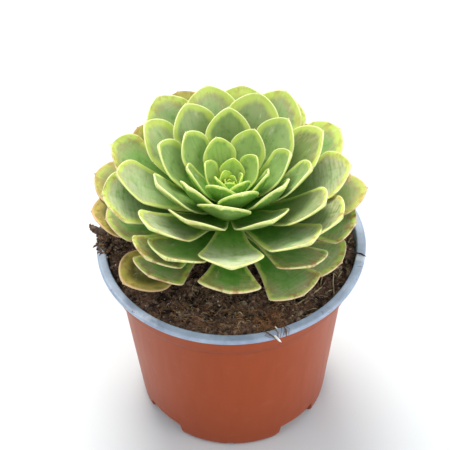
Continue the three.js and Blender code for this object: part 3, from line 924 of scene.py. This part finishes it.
def leafSection(leaf, s, along, half, v, under, inner):  # mm across and up from the midrib
    firm, seed = leaf["firm"], leaf["seed"]
    left, right = (np.array([[noise.noise(Vector((row * 3.2, side * 5.1, seed * 1.7)))] for row in s[:, 0]])
                   for side in (-1, 1))
    sideNoise = np.where(v < 0, left, right)
    across = v * half * (1 + rosette["flankWave"] * sideNoise * firm * np.clip(1.15 - s, 0, 1))
    flat = np.stack([across.ravel(), along, np.full(v.size, seed * 9.0)], axis=1)
    offset, size = Vector((17.3, 7.7, 3.1)), rosette["swellSize"]
    swell = np.array([noise.noise(Vector(place) / size + offset) for place in flat])
    swell = (swell * rosette["swell"]).reshape(v.shape) * firm
    wave = rosette["marginWave"] * firm * sideNoise * np.abs(v) ** 3
    fading = np.clip(1 - s, 0, 1) ** 0.6
    groove = rosette["grooveDepth"] * firm * np.exp(-(v / rosette["grooveWidth"]) ** 2) * fading
    thickest = rosette["midrib"] * min(1, leaf["width"] / rosette["fullThicknessWidth"])
    middle = np.maximum(rosette["thinnest"], thickest * (1 - rosette["tipThinning"] * np.clip(s, 0, 1)))
    edge = np.minimum(rosette["margin"], middle)
    thick = (middle + (edge - middle) * np.abs(v) ** 1.2) * np.clip((1.04 - s) / 0.06, 0.12, 1)
    rounded = 1 - np.sqrt(np.clip(1 - (np.clip(np.abs(v) - inner, 0, 1) / (1 - inner)) ** 2, 0, 1))
    lift = leaf["cupping"] * half * v * v + swell + wave
    return across, lift - np.where(under > 0, thick * (1 - rounded / 2), thick * rounded / 2 + groove)


def bendLeaf(leaf, s, across, lift, draw):  # along an arc from the crown, with a little sway
    sway = draw.uniform(-1, 1) * rosette["sway"] * leaf["length"] * leaf["firm"]
    twist = radians(draw.uniform(-rosette["twist"], rosette["twist"])) * leaf["firm"]
    out, side = (np.array(polar(1, leaf["angle"] + turn, 0)) for turn in (0, pi / 2))
    up = np.array([0, 0, 1.0])
    nearest, further = rosette["footReach"]
    lowest = plant["crownFoot"] + rosette["midrib"] + 0.8
    arcRadius = leaf["length"] / (2 * sin(leaf["curl"] / 2))
    slope = leaf["start"] + leaf["curl"] * s
    reach = ((nearest + further * leaf["share"]) * plant["crownRadius"]
             + arcRadius * (np.sin(slope) - sin(leaf["start"])))
    height = (plant["crownTop"] + (lowest - plant["crownTop"]) * leaf["share"]
              + arcRadius * (cos(leaf["start"]) - np.cos(slope)))
    tilt = leaf["lean"] + twist * s
    normal = -np.sin(slope)[..., None] * out + np.cos(slope)[..., None] * up
    level = side * np.cos(tilt)[..., None] + normal * np.sin(tilt)[..., None]
    centre = reach[..., None] * out + height[..., None] * up
    swayed = across + sway * s * s * (1 - s)
    return centre + swayed[..., None] * level + lift[..., None] * normal, normal


def marginDistance(leaf, s, along, half, v):  # mm to the nearest point of the outline
    awayX = (v * half).ravel()[:, None] - np.concatenate([half[:, 0], -half[:, 0]])
    awayY = along[:, None] - np.tile(s[:, 0], 2) * leaf["length"]
    nearest = np.sqrt(awayX ** 2 + awayY ** 2).min(axis=1)
    return np.minimum(nearest, (half * (1 - np.abs(v))).ravel() + 0.02)


def leafTones(age, leaf, draw):  # the values that colour a whole leaf
    toBack = 0.5 + 0.5 * sin(leaf["angle"])  # painted light: towards the light the pale margin band is drawn wider, for back light glowing through the thin margins
    band = (0.8 + 3.6 * min(1, leaf["share"] * 1.6)) * (0.5 + 0.9 * toBack) * draw.uniform(0.8, 1.2)
    # painted light: the pale coat grows on the leaves towards the back light
    paintedBacklight = 0.25 + 0.6 * toBack + draw.uniform(-0.1, 0.15)
    tint = draw.uniform(0.3, 1.0)
    return ((leaf["share"], rosette["dry"].get(age, 0.0), band),
            (rosette["pale"].get(age, tint), paintedBacklight, rosette["scuffAndHighlight"].get(age, 0.0)))


def leafBlade(age, draw):  # points, faces and colour fields, and the line of the margin
    leaf = leafGrowth(age)
    s = leafRows(leaf)[:, None]
    half = leafShape(leaf, s, draw.uniform(*rosette["tipFullness"]))
    v, under, inner, topColumns = leafColumns(half)
    shares = (s * np.ones_like(v)).ravel()
    along = shares * leaf["length"]
    across, lift = leafSection(leaf, s, along, half, v, under, inner)
    points, normal = bendLeaf(leaf, s, across, lift, draw)
    grain = np.stack([across.ravel(), along, np.full(v.size, leaf["seed"] * 13.0)], axis=1)
    place = np.stack([shares, marginDistance(leaf, s, along, half, v), under.ravel()], axis=1)
    kind, tone = (np.tile(row, (v.size, 1)) for row in leafTones(age, leaf, draw))
    marginLine = np.concatenate([points[:, 0], points[::-1, topColumns - 1]])
    marginNormal = np.concatenate([normal[:, 0], normal[::-1, 0]])
    return ((points.reshape(-1, 3), sleeveFaces(*v.shape), grain, place, kind, tone),
            (marginLine, marginNormal, leaf["share"]))


def aeoniumLeafSkin():
    # fleshy leaf under a waxy cuticle: soft satin gloss, pale margins, faint veins along the blade
    material, tree, shader = newMaterial("aeoniumLeafSkin", {
        "IOR": 1.42, "Specular IOR Level": 0.45, "Subsurface Weight": 0.25,
        "Subsurface Radius": (0.6, 1.0, 0.25), "Subsurface Scale": 2.0 * mm})
    fields = {}
    parts = {"leafPlace": ("share", "margin", "under"), "leafKind": ("age", "dryness", "band"),
             "leafTone": ("tint", "paintedBacklight", "scuffAndHighlight")}
    for name, names in parts.items():
        vector = addNode(tree, "Attribute", {"attribute_name": name}).outputs["Vector"]
        fields.update(zip(names, addNode(tree, "SeparateXYZ", links={0: vector}).outputs))
    grain = addNode(tree, "Attribute", {"attribute_name": "leafGrain"}).outputs["Vector"]
    rough = addNode(tree, "Mapping", {"Scale": (0.4, 0.2, 1.0)}, {"Vector": grain})
    ragged = addNode(tree, "TexNoise", {"Scale": 1.0, "Detail": 3.0}, {"Vector": rough.outputs[0]})
    shift = addNode(tree, "MapRange", {"From Min": 0.3, "From Max": 0.7, "To Min": -0.6, "To Max": 0.6},
                    {"Value": ragged.outputs[0]})
    depth = addNode(tree, "Math", links={0: fields["margin"], 1: shift.outputs[0]})
    fields["edge"] = addNode(tree, "Math", {"operation": "DIVIDE"},
                             {0: depth.outputs[0], 1: fields["band"]}).outputs[0]
    paintSurface(tree, shader, rosette, grain, fields, 1.0)
    relief = addNode(tree, "Math", {"operation": "MULTIPLY_ADD", 1: 0.4},
                     {0: fields["pores"], 2: fields["veins"]})
    bump = addNode(tree, "Bump", {"Strength": 0.35, "Distance": 0.15 * mm}, {"Height": relief.outputs[0]})
    tree.links.new(bump.outputs[0], shader.inputs["Normal"])
    return material


def crownPart():
    around, outline = 24, plant["crownOutline"]
    points = [polar(radius, turn, height) for radius, height in outline for turn in evenTurns(around)]
    fields = [np.tile(row, (len(points), 1))
              for row in ((0.0, 1, 4), (0.0, 9, 1), (0.2, 0, 1), (0.5, 0, 0))]
    return (points, sleeveFaces(len(outline), around), *fields)


# the fine hairs along every margin
cilia = {
    "spacing": 0.62,
    "jitter": 0.25,
    "bareShare": 0.12,
    "length": (0.35, 0.7),
    "radius": 0.055,
    "onward": (-0.5, 0.5),
    "upward": (-0.2, 0.4),
    "sunk": 0.3,
    "rooted": 0.08,
    "tones": ("#d9dba2", "#f4f2cc"),
}


def alongLine(line, way, at):
    return np.array([np.interp(at, way, line[:, i]) for i in range(3)])


def marginHairs(line, normals, share, draw):
    way = np.concatenate([[0], np.cumsum(np.linalg.norm(np.diff(line, axis=0), axis=1))])
    start, size = way[-1] * cilia["bareShare"], min(1, share * 3)
    parts = []
    for spot in np.arange(start, way[-1] - start, cilia["spacing"]):
        at = spot + draw.uniform(-cilia["jitter"], cilia["jitter"])
        root, facing = alongLine(line, way, at), alongLine(normals, way, at)
        ahead = alongLine(line, way, at + 0.4) - root
        outward = np.cross(facing, ahead)
        outward /= np.linalg.norm(outward) + 1e-9
        onward = ahead / (np.linalg.norm(ahead) + 1e-9)
        lean = outward + onward * draw.uniform(*cilia["onward"]) + facing * draw.uniform(*cilia["upward"])
        lean /= np.linalg.norm(lean)
        middle = root - facing * cilia["sunk"] - lean * cilia["rooted"]
        reach = draw.uniform(*cilia["length"]) * size
        level, rise = onward * cilia["radius"], facing * cilia["radius"]
        base = [middle + level, middle - level * 0.5 + rise * 0.87, middle - level * 0.5 - rise * 0.87]
        parts.append((np.array(base + [root + lean * reach - facing * cilia["sunk"]]),
                      [(0, 2, 1), (0, 1, 3), (1, 2, 3), (2, 0, 3)]))
    return parts


def makeRosette():
    draw = random.Random(rosette["seed"])
    blades, hairs = [crownPart()], []
    for age in range(1 - rosette["heartLeaves"], rosette["leafCount"] + 1):
        if age not in rosette["lost"]:
            blade, edge = leafBlade(age, draw)
            blades.append(blade)
            if age > 0:
                hairs += marginHairs(*edge, draw)
    points, faces, grain, place, kind, tone = joinParts(blades)
    leaves = makePiece("rosetteLeaves", placed(points), faces, [aeoniumLeafSkin()],
                       fields={"leafGrain": grain, "leafPlace": place, "leafKind": kind, "leafTone": tone})
    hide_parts("rosette")
    points, faces = joinParts(hairs)
    hair = plainOrganic("leafHair", *cilia["tones"], 0.6)  # stiff clear hairs: pale cream
    makePiece("marginCilia", placed(points), faces, [hair])


makeRosette()
print("rosette made")
